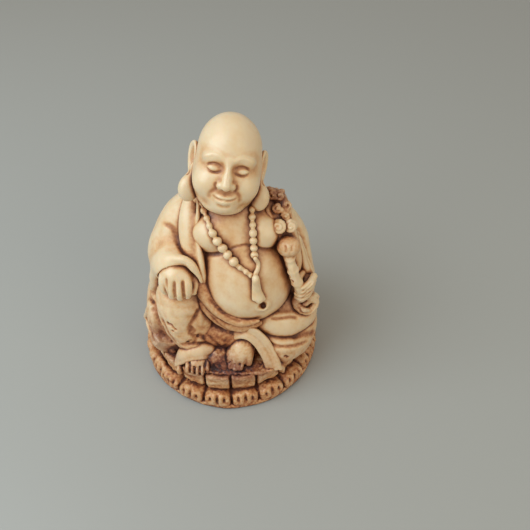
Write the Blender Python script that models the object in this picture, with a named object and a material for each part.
"""A seated laughing Buddha statuette on a round lotus base, in its sculpted pieces.

Metres, +Z up. The origin is the centre of the base's underside. The figure faces -Y, so the
figure's right side is at -X. Every piece is modelled whole, then seated on the pieces before it
in PIECES: what they fill, and the seam round it, is cut from its mesh.
"""

import math

import bmesh
import bpy
from mathutils import Matrix, Vector
from mathutils.bvhtree import BVHTree

# Seams and mesh finish
SEAM = 0.0003  # clear gap between pieces that touch
BALL_DETAIL = 2  # icosphere level of the balls that shape a limb
TINY = 1e-6

# Lotus base, bottom to top
BASE_RADIUS = 0.0400
PLATE_THICKNESS = 0.0022
PLATE_INSET = 0.0004
PETALS = 20
LOWER_PETAL_HEIGHT = 0.0080
LOWER_SEAM_DEPTH = 0.0022
LOWER_GROOVE_DEPTH = 0.0011
UPPER_PETAL_HEIGHT = 0.0062
UPPER_PETAL_INSET = 0.0046
UPPER_SEAM_DEPTH = 0.0018
SEAT_Z = PLATE_THICKNESS + LOWER_PETAL_HEIGHT + UPPER_PETAL_HEIGHT + 3 * SEAM

# Body
BELLY_RADIUS = 0.0190
CHEST_RADIUS = 0.0155
BREAST_RADIUS = 0.0080
NECK_RADIUS = 0.0118
HEAD_HALF = Vector((0.0120, 0.0132, 0.0186))
HEAD_LEAN_BACK = math.radians(24)
HEAD_LEAN_SIDE = math.radians(7)
EAR_THICKNESS = 0.0021
LOBE_RADIUS = 0.0033

# Limbs and what they hold
KNEE_RADIUS = 0.0090
ANKLE_RADIUS = 0.0058
FINGER_RADIUS = 0.0017
PALM_RADIUS = 0.0056
TOE_RADIUS = 0.0014
SHAFT_RADIUS = 0.0019
BOSS_RADIUS = 0.0047
CURL_RADIUS = 0.0023
CURL_WIRE = 0.0011

# Necklace
BEAD_RADIUS = 0.0016
BEAD_PITCH = 0.0034
CORD_RADIUS = 0.0007
TASSEL_LENGTH = 0.0105
TASSEL_HALF_WIDTH = 0.0026
LINK_OFFSET = Vector((0.0030, 0, 0.0175))  # from the belly's centre

# Robe
CUFF_RADIUS = 0.0110
ROLL_RADIUS = 0.0034
COLLAR_HALF_WIDTH = 0.0115
COLLAR_HALF_DEPTH = 0.0085

# Colours: base colour, roughness
IVORY = ((0.80, 0.66, 0.44, 1), 0.38)
STAINED = ((0.56, 0.34, 0.18, 1), 0.55)


def on_seat(x, y, z):
    """A point of the figure, its height counted from the top of the base."""
    return Vector((x, y, SEAT_Z + z))


BELLY = on_seat(0.0095, -0.0080, 0.0320)
CHEST = BELLY + Vector((-0.0045, 0.0075, 0.0235))
RIGHT_BREAST = CHEST + Vector((-0.0085, -0.0075, 0.0015))
LEFT_BREAST = CHEST + Vector((0.0100, -0.0075, 0.0025))
HEAD = CHEST + Vector((-0.0022, -0.0010, 0.0288))
RIGHT_SHOULDER = on_seat(-0.0165, 0.0050, 0.0545)
LEFT_SHOULDER = on_seat(0.0185, 0.0050, 0.0545)
RIGHT_ELBOW = on_seat(-0.0248, -0.0005, 0.0350)
LEFT_ELBOW = on_seat(0.0270, 0.0000, 0.0330)
RIGHT_WRIST = on_seat(-0.0195, -0.0110, 0.0405)
LEFT_WRIST = on_seat(0.0315, -0.0075, 0.0330)
RIGHT_KNEE = on_seat(-0.0170, -0.0130, 0.0320)
RIGHT_ANKLE = on_seat(-0.0135, -0.0235, 0.0110)
RIGHT_HIP = on_seat(-0.0240, 0.0060, 0.0130)
LEFT_KNEE = on_seat(0.0325, -0.0050, 0.0080)
LEFT_ANKLE = on_seat(0.0100, -0.0225, 0.0120)
LEFT_HIP = on_seat(0.0135, -0.0150, 0.0160)
RIGHT_PALM = RIGHT_KNEE + Vector((-0.0010, -0.0050, 0.0125))
LEFT_PALM = LEFT_WRIST + Vector((-0.0005, -0.0065, 0.0010))
BOSS = on_seat(0.0246, -0.0140, 0.0565)


def ball_points(centre, radius):
    """Points on a ball."""
    mesh = bmesh.new()
    bmesh.ops.create_icosphere(
        mesh, subdivisions=BALL_DETAIL, radius=radius, matrix=Matrix.Translation(centre)
    )
    points = [vertex.co.copy() for vertex in mesh.verts]
    mesh.free()
    return points


def ellipse_points(centre, half_x, half_y, steps=24):
    """Points on a level ellipse."""
    turns = [2 * math.pi * step / steps for step in range(steps)]
    return [centre + Vector((half_x * math.cos(t), half_y * math.sin(t), 0)) for t in turns]


def mesh_object(name, mesh):
    """A new object that takes over the bmesh."""
    data = bpy.data.meshes.new(name)
    bmesh.ops.recalc_face_normals(mesh, faces=mesh.faces)
    mesh.to_mesh(data)
    mesh.free()
    made = bpy.data.objects.new(name, data)
    bpy.context.scene.collection.objects.link(made)
    return made


def evaluated_mesh(thing):
    """The object's mesh with its modifiers, in world space and with a curve's caps welded."""
    bpy.context.view_layer.update()
    graph = bpy.context.evaluated_depsgraph_get()
    data = bpy.data.meshes.new_from_object(thing.evaluated_get(graph), depsgraph=graph)
    data.transform(thing.matrix_world)
    mesh = bmesh.new()
    mesh.from_mesh(data)
    bpy.data.meshes.remove(data)
    bmesh.ops.remove_doubles(mesh, verts=mesh.verts, dist=TINY)
    return mesh


def as_mesh(thing):
    """Replaces a curve or a primitive with the plain mesh object that it makes."""
    name = thing.name
    mesh = evaluated_mesh(thing)
    bpy.data.objects.remove(thing)
    return mesh_object(name, mesh)


def convex(points):
    """The tightest convex solid round the points."""
    mesh = bmesh.new()
    for point in points:
        mesh.verts.new(point)
    found = bmesh.ops.convex_hull(mesh, input=mesh.verts)
    inside = [item for item in found["geom_interior"] if isinstance(item, bmesh.types.BMVert)]
    bmesh.ops.delete(mesh, geom=inside, context="VERTS")
    return mesh_object("hull", mesh)


# A shape is a function of one length, the clearance, that returns its solid with every side
# moved out by that length. A piece is a list of shapes that overlap.


def hull(*balls):
    """One limb, roll or fold of cloth: the convex solid round (centre, radius) balls."""

    def build(clearance):
        groups = [ball_points(centre, radius + clearance) for centre, radius in balls]
        return convex([point for group in groups for point in group])

    return build


def chain(*balls):
    """A limb through (centre, radius) balls: one hull for each pair."""
    return [hull(start, end) for start, end in zip(balls, balls[1:])]


def layers(*ellipses):
    """A convex body through level (centre, half_x, half_y) ellipses, bottom to top."""

    def build(clearance):
        points = []
        for place, (centre, half_x, half_y) in enumerate(ellipses):
            end = (place == len(ellipses) - 1) - (place == 0)
            lifted = centre + Vector((0, 0, clearance * end))
            points += ellipse_points(lifted, half_x + clearance, half_y + clearance)
        return convex(points)

    return build


def bar(points, radius, swell=None):
    """A round bar along a smooth line through the points, its radius scaled by swell."""

    def build(clearance):
        curve = bpy.data.curves.new("bar", "CURVE")
        curve.dimensions = "3D"
        curve.bevel_depth = 1
        curve.bevel_resolution = 1
        curve.resolution_u = 3
        curve.use_fill_caps = True
        spline = curve.splines.new("BEZIER")
        spline.bezier_points.add(len(points) - 1)
        for place, (knot, point) in enumerate(zip(spline.bezier_points, points)):
            knot.co = point
            knot.handle_left_type = knot.handle_right_type = "AUTO"
            knot.radius = radius * (swell[place] if swell else 1) + clearance
        made = bpy.data.objects.new("bar", curve)
        bpy.context.scene.collection.objects.link(made)
        return as_mesh(made)

    return build


def roll_ring(centre, radius, wire):
    """An upright ring, facing the front."""

    def build(clearance):
        bpy.ops.mesh.primitive_torus_add(
            location=centre,
            rotation=(math.pi / 2, 0, 0),
            major_radius=radius,
            minor_radius=wire + clearance,
            major_segments=16,
            minor_segments=8,
        )
        return as_mesh(bpy.context.object)

    return build


def petal_tier(radius, petal_profile, bottom, height):
    """A disc with PETALS lobes, from one lobe's (share of the lobe, depth below radius)."""

    def build(clearance):
        curve = bpy.data.curves.new("tier", "CURVE")
        curve.dimensions = "2D"
        curve.fill_mode = "BOTH"
        curve.extrude = height / 2 + clearance
        spline = curve.splines.new("POLY")
        spline.points.add(PETALS * len(petal_profile) - 1)
        spline.use_cyclic_u = True
        steps = [(petal, *step) for petal in range(PETALS) for step in petal_profile]
        for knot, (petal, share, depth) in zip(spline.points, steps):
            angle = (petal + share) * 2 * math.pi / PETALS - math.pi / 2
            reach = radius - depth + clearance
            knot.co = (reach * math.cos(angle), reach * math.sin(angle), 0, 1)
        made = bpy.data.objects.new("tier", curve)
        made.location.z = bottom + height / 2
        bpy.context.scene.collection.objects.link(made)
        return as_mesh(made)

    return build


def boolean(target, other, operation):
    """Joins other to target, or cuts it away, and removes other."""
    change = target.modifiers.new(operation.title(), "BOOLEAN")
    change.operation = operation
    change.solver = "EXACT"
    change.object = other
    mesh = evaluated_mesh(target)
    target.modifiers.remove(change)
    mesh.to_mesh(target.data)
    mesh.free()
    bpy.data.objects.remove(other)


def base_plate(clearance):
    """The plain slab that the base stands on."""
    bpy.ops.mesh.primitive_cylinder_add(
        vertices=60,
        radius=BASE_RADIUS - PLATE_INSET + clearance,
        depth=PLATE_THICKNESS + 2 * clearance,
        location=(0, 0, PLATE_THICKNESS / 2),
    )
    return as_mesh(bpy.context.object)


def lotus_base():
    """The slab and the two tiers of petals."""
    grooved = [
        (0.00, LOWER_SEAM_DEPTH),
        (0.08, 0.0004),
        (0.28, 0.0),
        (0.50, LOWER_GROOVE_DEPTH),
        (0.72, 0.0),
        (0.92, 0.0004),
    ]
    square = [(0.00, UPPER_SEAM_DEPTH), (0.06, 0.0), (0.50, 0.0), (0.94, 0.0)]
    low = PLATE_THICKNESS + SEAM
    middle = low + LOWER_PETAL_HEIGHT + SEAM
    back = BASE_RADIUS - UPPER_PETAL_INSET
    return {
        "base_plate": [base_plate],
        "lower_petals": [petal_tier(BASE_RADIUS, grooved, low, LOWER_PETAL_HEIGHT)],
        "upper_petals": [petal_tier(back, square, middle, UPPER_PETAL_HEIGHT)],
    }


def on_head(x, y, z):
    """A point given in shares of the head's half sizes, turned with the head."""
    lean = Matrix.Rotation(HEAD_LEAN_SIDE, 4, "Y") @ Matrix.Rotation(-HEAD_LEAN_BACK, 4, "X")
    return HEAD + lean @ Vector((x * HEAD_HALF.x, y * HEAD_HALF.y, z * HEAD_HALF.z))


def ear(side):
    """A long ear with a heavy lobe that hangs to the shoulder."""
    return chain(
        (on_head(side * 0.93, 0.20, 0.30), EAR_THICKNESS),
        (on_head(side * 1.00, 0.20, -0.10), EAR_THICKNESS),
        (on_head(side * 1.02, 0.10, -0.66), LOBE_RADIUS),
    )


def head_and_ears():
    """The bald head, a high crown over full cheeks, and its ears."""
    crown = 0.82 * HEAD_HALF.x
    jaw = 0.80 * HEAD_HALF.x
    skull = hull(
        (on_head(0, 0.12, 0.42), crown),
        (on_head(-0.16, 0.10, -0.10), jaw),
        (on_head(0.16, 0.10, -0.10), jaw),
        (on_head(0, -0.10, -0.38), jaw),
    )
    nose = hull(
        (on_head(0, -0.66, 0.10), 0.10 * HEAD_HALF.x),
        (on_head(0, -0.80, -0.08), 0.16 * HEAD_HALF.x),
    )
    return {"head": [skull, nose], "right_ear": ear(-1), "left_ear": ear(1)}


def torso():
    """The bare belly, chest, breasts and neck."""
    neck_top = HEAD + Vector((0, 0.001, -0.010))
    return [
        hull((BELLY, BELLY_RADIUS), (CHEST, CHEST_RADIUS * 0.8)),
        hull((CHEST, CHEST_RADIUS), (neck_top, NECK_RADIUS)),
        hull((RIGHT_BREAST, BREAST_RADIUS), (CHEST, BREAST_RADIUS)),
        hull((LEFT_BREAST, BREAST_RADIUS), (CHEST, BREAST_RADIUS)),
    ]


def right_hand():
    """The hand laid over the raised knee, fingers down."""
    palm = hull(
        (RIGHT_WRIST + Vector((0, -0.001, 0.001)), PALM_RADIUS * 0.9),
        (RIGHT_PALM + Vector((-0.002, 0, 0)), PALM_RADIUS),
        (RIGHT_PALM + Vector((0.003, -0.001, 0)), PALM_RADIUS * 0.85),
    )
    fingers = []
    for place in range(4):
        knuckle = RIGHT_PALM + Vector((-0.0052 + 0.0036 * place, -0.0036, -0.0018))
        tip = knuckle + Vector((0.0004, -0.0028, -0.0078))
        fingers.append(hull((knuckle, FINGER_RADIUS), (tip, FINGER_RADIUS * 0.8)))
    return [palm, *fingers]


def left_hand():
    """The fist that holds the sceptre."""
    return [
        hull(
            (LEFT_PALM, PALM_RADIUS * 0.85),
            (LEFT_PALM + Vector((0.001, -0.001, -0.0045)), PALM_RADIUS * 0.7),
            (LEFT_WRIST, PALM_RADIUS * 0.8),
        )
    ]


def foot(heel, toe_line, width, reach):
    """A bare foot from the heel to a row of five toes."""
    ends = [toe_line + Vector((width * (share - 0.5), 0, 0)) for share in (0, 1)]
    sole = hull((heel, 2.4 * TOE_RADIUS), *[(end, 1.3 * TOE_RADIUS) for end in ends])
    toes = []
    for place in range(5):
        root = toe_line + Vector((width * (place / 4 - 0.5), 0, 0))
        toes.append(hull((root, TOE_RADIUS), (root + reach, TOE_RADIUS)))
    return [sole, *toes]


def feet():
    """The right foot flat on the base and the left one over its front edge."""
    right_heel = RIGHT_ANKLE + Vector((0.0005, -0.001, -0.0060))
    left_heel = LEFT_ANKLE + Vector((-0.0020, -0.0010, -0.0020))
    right_toes = on_seat(-0.0130, -0.0295, 0.0026)
    left_toes = on_seat(0.0040, -0.0285, 0.0048)
    return {
        "right_foot": foot(right_heel, right_toes, 0.0082, Vector((0, -0.0030, -0.0006))),
        "left_foot": foot(left_heel, left_toes, 0.0080, Vector((-0.0008, -0.0012, -0.0022))),
    }


def scroll(centre):
    """A cloud scroll: a rolled edge round a raised eye."""
    return [
        hull((centre + Vector((0, CURL_WIRE, 0)), CURL_RADIUS)),
        roll_ring(centre, CURL_RADIUS, CURL_WIRE),
        hull((centre + Vector((0, -CURL_WIRE * 0.3, 0)), CURL_RADIUS * 0.5)),
    ]


def sceptre():
    """The sceptre in the left hand: a boss and scrolls at the shoulder, a shaft, a tail."""
    low = LEFT_PALM + Vector((0.0008, -0.0062, -0.0050))
    top = BOSS + Vector((0.0004, -0.0008, -0.0050))
    return {
        "sceptre_boss": [hull((BOSS, BOSS_RADIUS))],
        "sceptre_shaft": [bar([top, top.lerp(low, 0.55), low], SHAFT_RADIUS)],
        "right_scroll": scroll(BOSS + Vector((-0.0034, 0.0020, 0.0062))),
        "left_scroll": scroll(BOSS + Vector((0.0026, 0.0032, 0.0064))),
        "crest_scroll": scroll(BOSS + Vector((-0.0040, 0.0110, 0.0115))),
        "tail_scroll": scroll(LEFT_PALM + Vector((0.0010, -0.0055, -0.0088))),
    }


def skin(shapes):
    """A search tree over a piece's surface, to lay other pieces on it."""
    piece = join("skin", shapes)
    tree = BVHTree.FromBMesh(evaluated_mesh(piece))
    bpy.data.objects.remove(piece)
    return tree


def surface_point(tree, across, height, lift):
    """The point lift above the torso's front at an x and a z."""
    start = Vector((across, BELLY.y - 3 * BELLY_RADIUS, height))
    hit, normal, _, _ = tree.ray_cast(start, Vector((0, 1, 0)))
    return hit + normal * lift


def strand(tree, top, bottom, sag, count):
    """Beads on a cord that hangs by sag between its top and bottom, all given as (x, z)."""
    line = []
    steps = 24
    for step in range(steps + 1):
        share = step / steps
        drop = math.sin(math.pi * share)
        across = top[0] + (bottom[0] - top[0]) * share + sag[0] * drop
        height = top[1] + (bottom[1] - top[1]) * share + sag[1] * drop
        line.append(surface_point(tree, across, height, BEAD_RADIUS * 0.9))
    beads = []
    walked = 0.0
    for here, there in zip(line, line[1:]):
        step = (there - here).length
        while len(beads) < count and len(beads) * BEAD_PITCH <= walked + step:
            share = (len(beads) * BEAD_PITCH - walked) / step
            beads.append(hull((here.lerp(there, share), BEAD_RADIUS)))
        walked += step
    return [bar(line[::2], CORD_RADIUS), *beads]


def necklace():
    """The two bead strands, the link that joins them and the tassel below it."""
    tree = skin(torso())
    link_x, link_z = BELLY.x + LINK_OFFSET.x, BELLY.z + LINK_OFFSET.z
    link = surface_point(tree, link_x, link_z, BEAD_RADIUS)
    tip = surface_point(tree, link_x + 0.0012, link_z - TASSEL_LENGTH, BEAD_RADIUS * 0.9)
    side = Vector((TASSEL_HALF_WIDTH, 0, 0))
    fat = BEAD_RADIUS * 0.65
    right_top = (CHEST.x - 0.0100, CHEST.z + 0.0130)
    left_top = (CHEST.x + 0.0058, CHEST.z + 0.0130)
    right_end = (link_x - 0.0026, link_z + 0.0014)
    left_end = (link_x, link_z + 0.0042)
    knot = hull((link, BEAD_RADIUS * 0.8), (link + side * 0.3, BEAD_RADIUS * 0.7))
    return {
        "right_bead_strand": strand(tree, right_top, right_end, (-0.0024, -0.0022), 9),
        "left_bead_strand": strand(tree, left_top, left_end, (0.0003, 0), 7),
        "necklace_link": [knot],
        "tassel": [hull((link.lerp(tip, 0.22), fat * 0.7), (tip - side, fat), (tip + side, fat))],
    }


def legs():
    """The raised right leg, the folded left leg and the bands at their trouser hems."""
    right_hem = RIGHT_ANKLE + Vector((0.0008, -0.0030, -0.0020))
    left_hem = LEFT_ANKLE + Vector((-0.0015, -0.0040, 0.0080))
    shin_back = RIGHT_KNEE.lerp(RIGHT_ANKLE, 0.7) + Vector((-0.0050, 0.0045, 0.0010))
    left_calf = LEFT_KNEE.lerp(LEFT_ANKLE, 0.45) + Vector((0.001, -0.003, 0))
    over_knee = LEFT_KNEE + Vector((0.0, 0.0020, 0.0085))
    mid_thigh = LEFT_HIP.lerp(over_knee, 0.55) + Vector((0, -0.002, 0.0005))
    return {
        "right_trouser_hem": [
            hull(
                (right_hem + Vector((-0.0042, 0, 0)), ANKLE_RADIUS * 0.48),
                (right_hem + Vector((0.0042, 0.0005, 0.0004)), ANKLE_RADIUS * 0.48),
                (right_hem + Vector((0, 0, 0.0024)), ANKLE_RADIUS * 0.55),
            )
        ],
        "left_trouser_hem": [
            bar(
                [
                    left_hem + Vector((-0.0058, 0.0012, -0.0034)),
                    left_hem,
                    left_hem + Vector((0.0060, -0.0020, -0.0028)),
                    left_hem + Vector((0.0112, -0.0048, -0.0165)),
                ],
                ROLL_RADIUS * 0.62,
            )
        ],
        "right_shin": [
            hull(
                (RIGHT_KNEE, KNEE_RADIUS),
                (RIGHT_ANKLE, ANKLE_RADIUS),
                (shin_back, KNEE_RADIUS * 0.8),
            )
        ],
        "right_thigh": [
            hull(
                (RIGHT_HIP, KNEE_RADIUS * 1.4),
                (RIGHT_KNEE + Vector((-0.004, 0.006, -0.004)), KNEE_RADIUS),
            )
        ],
        "left_shin": [
            hull(
                (LEFT_ANKLE, ANKLE_RADIUS),
                (LEFT_KNEE, KNEE_RADIUS * 0.78),
                (left_calf, KNEE_RADIUS * 0.8),
            )
        ],
        "left_thigh": [
            hull(
                (LEFT_HIP, KNEE_RADIUS * 0.72),
                (over_knee, KNEE_RADIUS * 0.75),
                (mid_thigh, KNEE_RADIUS * 0.9),
            )
        ],
    }


def round_belly(turn, rise, out):
    """A point out from the belly's surface, turn to the figure's left of front and rise up."""
    flat = Vector((math.sin(turn), -math.cos(turn), 0)) * math.cos(rise)
    return BELLY + (flat + Vector((0, 0, math.sin(rise)))) * (BELLY_RADIUS + out)


def waist_roll(drop, out):
    """A roll of the robe that crosses under the belly, drop below the upper one."""
    turns = [math.radians(turn) for turn in (-72, -40, -8, 22)]
    rises = [math.radians(rise) - drop for rise in (8, -8, -24, -34)]
    points = [round_belly(turn, rise, out) for turn, rise in zip(turns, rises)]
    return [bar(points, ROLL_RADIUS, [0.7, 1.0, 1.0, 0.55])]


def sleeve(shoulder, elbow, wrist, cuff_radius):
    """A wide sleeve from the shoulder to an open cuff."""
    upper = hull((shoulder, 0.0095), (elbow, 0.0090))
    lower = hull((elbow, 0.0090), (wrist, cuff_radius * 0.8), (shoulder, 0.008))
    return [upper, lower]


def robe():
    """Waist rolls, sleeves, open fronts, the hem under the feet and the robe round the back."""
    right_lapel = hull(
        (RIGHT_BREAST + Vector((-0.0080, -0.0005, 0.0080)), 0.0050),
        (RIGHT_BREAST + Vector((-0.0078, -0.0030, -0.0060)), 0.0055),
        (RIGHT_BREAST + Vector((-0.0045, -0.0060, -0.0140)), 0.0030),
        (RIGHT_SHOULDER + Vector((0.004, -0.003, 0.001)), 0.0070),
    )
    left_lapel = hull(
        (LEFT_BREAST + Vector((0.0080, 0.0020, 0.0070)), 0.0045),
        (LEFT_BREAST + Vector((0.0100, 0.0005, -0.0120)), 0.0045),
        (LEFT_BREAST + Vector((0.0100, 0.0010, -0.0260)), 0.0040),
        (LEFT_SHOULDER + Vector((-0.002, -0.002, 0.001)), 0.0070),
    )
    front_hem = hull(
        (on_seat(-0.0190, -0.0215, 0.0013), 0.0013),
        (on_seat(-0.0120, -0.0285, 0.0013), 0.0013),
        (on_seat(0.0070, -0.0310, 0.0013), 0.0013),
        (on_seat(0.0200, -0.0275, 0.0013), 0.0013),
    )
    back = layers(
        (on_seat(0, 0.0035, SEAM), 0.0365, 0.0290),
        (on_seat(0, 0.0035, 0.0070), 0.0392, 0.0305),
        (on_seat(0, 0.0045, 0.0180), 0.0385, 0.0300),
        (on_seat(0.001, 0.0060, 0.0330), 0.0350, 0.0240),
        (on_seat(0.001, 0.0065, 0.0480), 0.0310, 0.0180),
        (on_seat(0.001, 0.0065, 0.0580), 0.0255, 0.0135),
        (on_seat(0.0015, 0.0065, 0.0675), 0.0195, 0.0115),
        (on_seat(0.002, 0.0060, 0.0735), COLLAR_HALF_WIDTH, COLLAR_HALF_DEPTH),
    )
    return {
        "upper_waist_roll": waist_roll(0.0, 0.0012),
        "lower_waist_roll": waist_roll(0.30, 0.0036),
        "right_sleeve": sleeve(RIGHT_SHOULDER, RIGHT_ELBOW, RIGHT_WRIST, CUFF_RADIUS),
        "left_sleeve": sleeve(LEFT_SHOULDER, LEFT_ELBOW, LEFT_WRIST, CUFF_RADIUS * 0.75),
        "right_lapel": [right_lapel],
        "left_lapel": [left_lapel],
        "front_hem": [front_hem],
        "robe_back": [back],
    }


def join(name, shapes):
    """One body from overlapping shapes."""
    first = shapes[0](0)
    first.name = name
    for shape in shapes[1:]:
        boolean(first, shape(0), "UNION")
    return first


def corners(thing):
    """Lowest and highest corner of a plain mesh object."""
    points = [vertex.co for vertex in thing.data.vertices]
    low = Vector([min(p[axis] for p in points) for axis in range(3)])
    high = Vector([max(p[axis] for p in points) for axis in range(3)])
    return low, high


def boxes_meet(first, second):
    """True if two boxes, each (low, high), overlap."""
    return all(
        first[0][axis] <= second[1][axis] and second[0][axis] <= first[1][axis]
        for axis in range(3)
    )


def drop_chips(thing):
    """Keeps the main body of a cut piece, without the chips that cutting leaves loose."""
    mesh = bmesh.new()
    mesh.from_mesh(thing.data)
    left = set(mesh.verts)
    shells = []
    while left:
        shell, front = set(), [left.pop()]
        while front:
            vertex = front.pop()
            shell.add(vertex)
            near = [edge.other_vert(vertex) for edge in vertex.link_edges]
            fresh = {other for other in near if other in left}
            left -= fresh
            front.extend(fresh)
        shells.append(shell)
    shells.sort(key=len)
    for shell in shells[:-1]:
        bmesh.ops.delete(mesh, geom=list(shell), context="VERTS")
    mesh.to_mesh(thing.data)
    mesh.free()


def seat_in_turn(plan):
    """Builds each piece and cuts from it what the shapes of the pieces before it fill."""
    cutters = []
    pieces = []
    for name, shapes in plan.items():
        piece = join(name, shapes)
        box = corners(piece)
        for cutter, cutter_box in cutters:
            if boxes_meet(box, cutter_box):
                blade = cutter.copy()
                bpy.context.scene.collection.objects.link(blade)
                boolean(piece, blade, "DIFFERENCE")
        drop_chips(piece)
        pieces.append(piece)
        grown = [shape(SEAM) for shape in shapes]
        cutters += [(cutter, corners(cutter)) for cutter in grown]
    for cutter, _ in cutters:
        bpy.data.objects.remove(cutter)
    return pieces


def finish(pieces):
    """One collection, a material on every piece and smooth shading across shallow edges."""
    group = bpy.data.collections.new("buddha_statue")
    bpy.context.scene.collection.children.link(group)
    finishes = {}
    for name, (colour, roughness) in (("ivory", IVORY), ("stained", STAINED)):
        material = bpy.data.materials.new(name)
        material.use_nodes = True
        shader = material.node_tree.nodes["Principled BSDF"]
        shader.inputs["Base Color"].default_value = colour
        shader.inputs["Roughness"].default_value = roughness
        finishes[name] = material
    for piece in pieces:
        for holder in piece.users_collection:
            holder.objects.unlink(piece)
        group.objects.link(piece)
        low_down = piece.name in ("base_plate", "lower_petals", "upper_petals", "front_hem")
        piece.data.materials.clear()
        piece.data.materials.append(finishes["stained" if low_down else "ivory"])
        piece.data.shade_smooth()
        piece.data.set_sharp_from_angle(angle=math.radians(35))


def main():
    """Builds the statuette, the pieces in front first."""
    for thing in list(bpy.data.objects):
        bpy.data.objects.remove(thing)
    plan = {
        **lotus_base(),
        **head_and_ears(),
        "right_hand": right_hand(),
        "left_hand": left_hand(),
        **sceptre(),
        "torso": torso(),
        **necklace(),
        **feet(),
        **legs(),
        **robe(),
    }
    finish(seat_in_turn(plan))


main()
